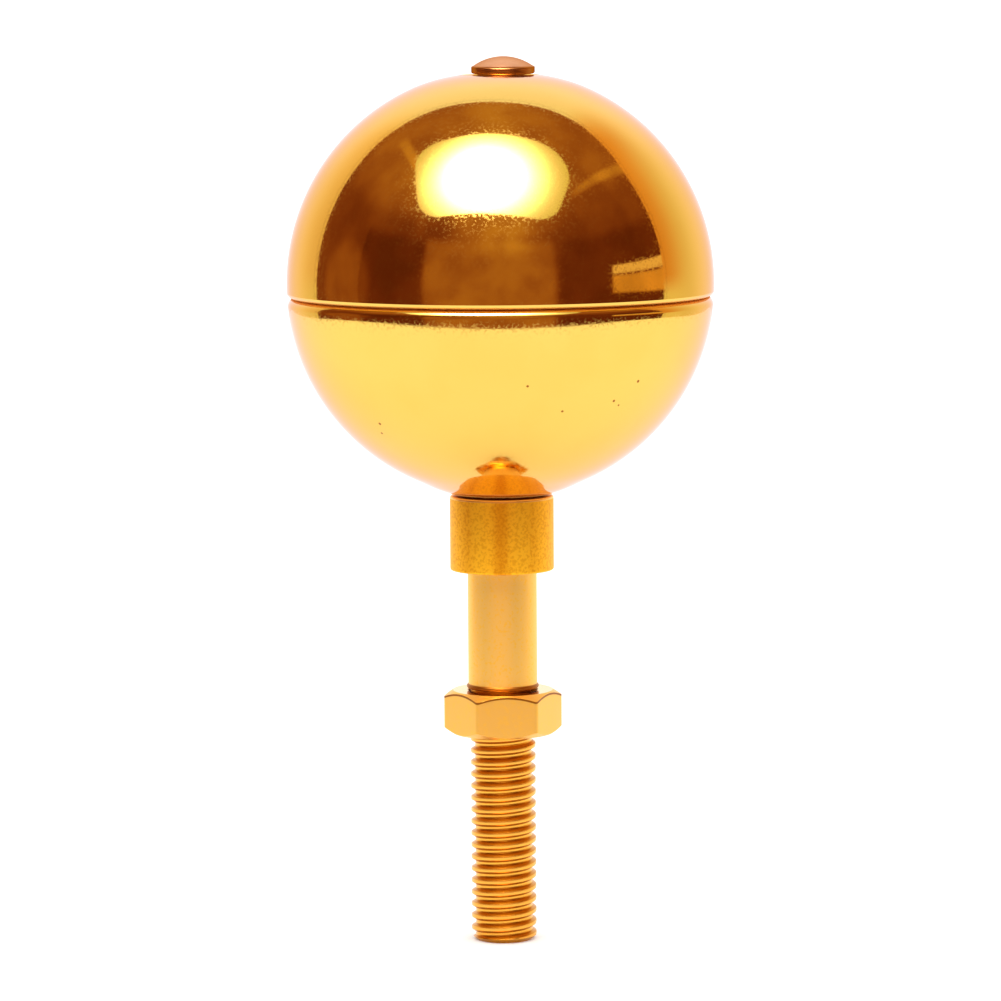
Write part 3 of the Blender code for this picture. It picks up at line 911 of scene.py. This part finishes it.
def dark_surroundings(light, x, y, z):
    """Strength and colour of the dark side, with lighter and darker patches laid over it."""
    aside = light.math("ABSOLUTE", x)
    forward = light.math("MAXIMUM", light.math("MULTIPLY", y, -1.0), LEAST_DIVISOR)
    ahead = light.math("DIVIDE", x, forward)
    rise = light.math("DIVIDE", z, light.math("MAXIMUM", aside, LEAST_DIVISOR))
    low = light.span(z, 0.36, 0.46, 1.0, 0.0)
    middle = light.product(light.within(ahead, -0.88, 0.56, 0.06), low)
    left_wing = light.product(light.within(ahead, -6.0, -0.88, 0.2), low)
    left_edge = light.product(light.within(x, -1.2, -0.96, 0.015), low)
    right_wing = light.product(light.within(x, 0.52, 1.2, 0.05), low)
    under_softbox = light.product(
        light.within(z, 0.36, 0.75, 0.12),
        light.span(aside, 0.05, 0.6, 1.0, 0.0),
        light.span(y, -0.7, -0.3, 1.0, 0.0),
    )
    left_side = light.product(light.within(z, 0.55, 0.85, 0.06), light.span(x, -0.7, -0.4, 1.0, 0.0))
    left_bar = light.product(light.within(rise, 1.36, 1.56, 0.05), light.span(x, -0.3, -0.2, 1.0, 0.0))
    right_bar = light.within(light.math("MULTIPLY_ADD", y, 0.55, rise), 0.96, 1.10, 0.04)
    right_bar = light.product(right_bar, light.span(x, 0.4, 0.5))
    bars = light.product(light.math("ADD", left_bar, right_bar), light.within(y, -0.4, 0.25, 0.1))
    far_right = light.product(light.within(x, 0.87, 1.2, 0.01), light.span(y, -0.50, -0.46))
    strip = light.product(light.within(z, -0.05, 0.085, 0.01), far_right)
    window = light.product(light.within(z, 0.098, 0.165, 0.006), far_right)
    crown = light.product(light.span(aside, 0.0, 0.25, 1.0, 0.0), light.span(z, 0.8, 0.95))
    patches = (
        (middle, 0.5),
        (left_wing, -0.22),
        (left_edge, 0.25),
        (right_wing, -0.20),
        (under_softbox, 0.80),
        (left_side, 0.25),
        (bars, 0.7),
        (strip, 1.7),
        (crown, 0.25),
    )
    strength = light.span(z, 0.40, 0.97, 0.60, 1.15)
    for patch, gain in patches:
        strength = light.math("MULTIPLY_ADD", patch, gain, strength)
    strength = light.product(strength, light.span(light.grain(3.0, 3.0), 0.3, 0.7, 0.85, 1.15))
    colour = light.blend(light.span(strength, 0.4, 1.6, smooth=False), SHADE_DIM, SHADE_BRIGHT)
    strength = light.math("MULTIPLY_ADD", window, WINDOW_GAIN, strength)
    return strength, light.blend(window, colour, WINDOW_LIGHT)


def screen_light():
    """Light of the reflected studio: bright white all round, and a warm dark side in front."""
    light = Finish("reflected_studio")
    unit = light.node("ShaderNodeVectorMath", operation="NORMALIZE")
    light.put(unit.inputs[0], light.place)
    x, y, z = light.axes(unit.outputs[0])
    past = past_border(light, x, y)
    dark = light.span(past, -BORDER_FADE, BORDER_FADE, 1.0, 0.0)
    white, daylight = white_surroundings(light, x, y, z, past)
    tone, shade = dark_surroundings(light, x, y, z)
    shaded = light.product(dark, tone)
    strength = light.math("MULTIPLY_ADD", light.math("SUBTRACT", 1.0, dark), white, shaded)
    light.material.cycles.emission_sampling = "NONE"
    return light.lamp(light.blend(dark, daylight, shade), strength)


def make_screen():
    """A sphere of surroundings about the ball, seen by reflections alone."""
    form = bmesh.new()
    bmesh.ops.create_icosphere(form, subdivisions=SCREEN_SUBDIVISIONS, radius=SCREEN_RADIUS)
    bmesh.ops.reverse_faces(form, faces=form.faces)
    screen = studio_object("reflected_screen", form, screen_light())
    screen.location = (0.0, 0.0, ball_centre)
    only_reflections(screen)


def softbox_light():
    """The softbox's glow: hottest left of its middle and nearer the front, with warm edges."""
    light = Finish("softbox_glow")
    offset = light.node("ShaderNodeMapping")
    light.put(offset.inputs["Vector"], light.place)
    light.put(offset.inputs["Location"], HOT_SPOT_SHIFT)
    light.put(offset.inputs["Scale"], HOT_SPOT_SQUEEZE)
    away = light.node("ShaderNodeVectorMath", operation="LENGTH")
    light.put(away.inputs[0], offset.outputs[0])
    reach = light.math("DIVIDE", away.outputs["Value"], SOFTBOX_DISTANCE)
    share = light.span(reach, 0.0, HOT_SPOT_REACH, 1.0, 0.0, smooth=False)
    heat = light.math("POWER", share, HOT_SPOT_FALL)
    strength = light.math("MULTIPLY_ADD", heat, HOT_SPOT_HEAT, SOFTBOX_LEAST)
    strength = light.math("MINIMUM", strength, SOFTBOX_MOST)
    warmth = light.blend(light.span(reach, 0.45, HOT_SPOT_REACH), SOFTBOX_WHITE, SOFTBOX_WARM)
    return light.lamp(warmth, strength)


def softbox_outline():
    """The softbox's outline as shares of its distance: round corners and a bowed near edge."""
    outline = []
    for turn, (side, edge, inwards, radius) in enumerate(SOFTBOX_CORNERS):
        centre = (side * (SOFTBOX_HALF_WIDTH - radius), edge + inwards * radius)
        outline += arc(centre, radius, turn * math.pi / 2, (turn + 1) * math.pi / 2, EDGE_STEPS * 2)
    return [(u, v - SOFTBOX_BOW * u**2 * max(v, 0.0) / SOFTBOX_NEAR) for u, v in outline]


def make_softbox():
    """The softbox overhead: a flat card with round corners, facing the ball."""
    form = bmesh.new()
    outline = softbox_outline()
    form.faces.new([form.verts.new((u * SOFTBOX_DISTANCE, v * SOFTBOX_DISTANCE, 0.0)) for u, v in outline])
    card = studio_object("softbox", form, softbox_light())
    aim = direction(SOFTBOX_AZIMUTH, SOFTBOX_ELEVATION)
    across = Vector((math.cos(SOFTBOX_AZIMUTH), math.sin(SOFTBOX_AZIMUTH), 0.0))
    upward = (-aim).cross(across)
    turn = Matrix((across, upward, -aim)).transposed().to_4x4()
    middle = Vector((0, 0, ball_centre))
    card.matrix_world = Matrix.Translation(middle + aim * SOFTBOX_DISTANCE) @ turn
    only_reflections(card)


def make_world():
    """Even white daylight for the ground and the backdrop."""
    world = bpy.data.worlds.new("white_studio")
    world.use_nodes = True
    sky = world.node_tree.nodes["Background"]
    sky.inputs["Color"].default_value = (1.0, 1.0, 1.0, 1.0)
    sky.inputs["Strength"].default_value = WORLD_WHITE
    bpy.context.scene.world = world
    bpy.context.scene.view_settings.view_transform = "Standard"


def make_camera():
    """The camera, a little above the finial and rolled by a third of a degree."""
    lens = bpy.data.cameras.new("camera")
    lens.lens = CAMERA_LENS
    lens.sensor_width = CAMERA_SENSOR
    lens.clip_end = CAMERA_REACH
    camera = bpy.data.objects.new("camera", lens)
    bpy.context.scene.collection.objects.link(camera)
    back = Vector((0.0, -math.cos(CAMERA_PITCH), math.sin(CAMERA_PITCH)))
    stand = Matrix.Translation(CAMERA_AIM + back * CAMERA_DISTANCE)
    tilt = Matrix.Rotation(math.pi / 2 - CAMERA_PITCH, 4, "X")
    camera.matrix_world = stand @ tilt @ Matrix.Rotation(CAMERA_ROLL, 4, "Z")
    bpy.context.scene.camera = camera


make_camera()
make_world()
make_floor()
make_screen()
make_softbox()
make_upper_shell(ball_finish("upper_shell_gold_anodised"))
make_lower_shell(ball_finish("lower_shell_gold_anodised"))
make_button(button_finish())
make_collar(collar_finish())
make_spindle(spindle_finish())
make_nut(nut_finish())
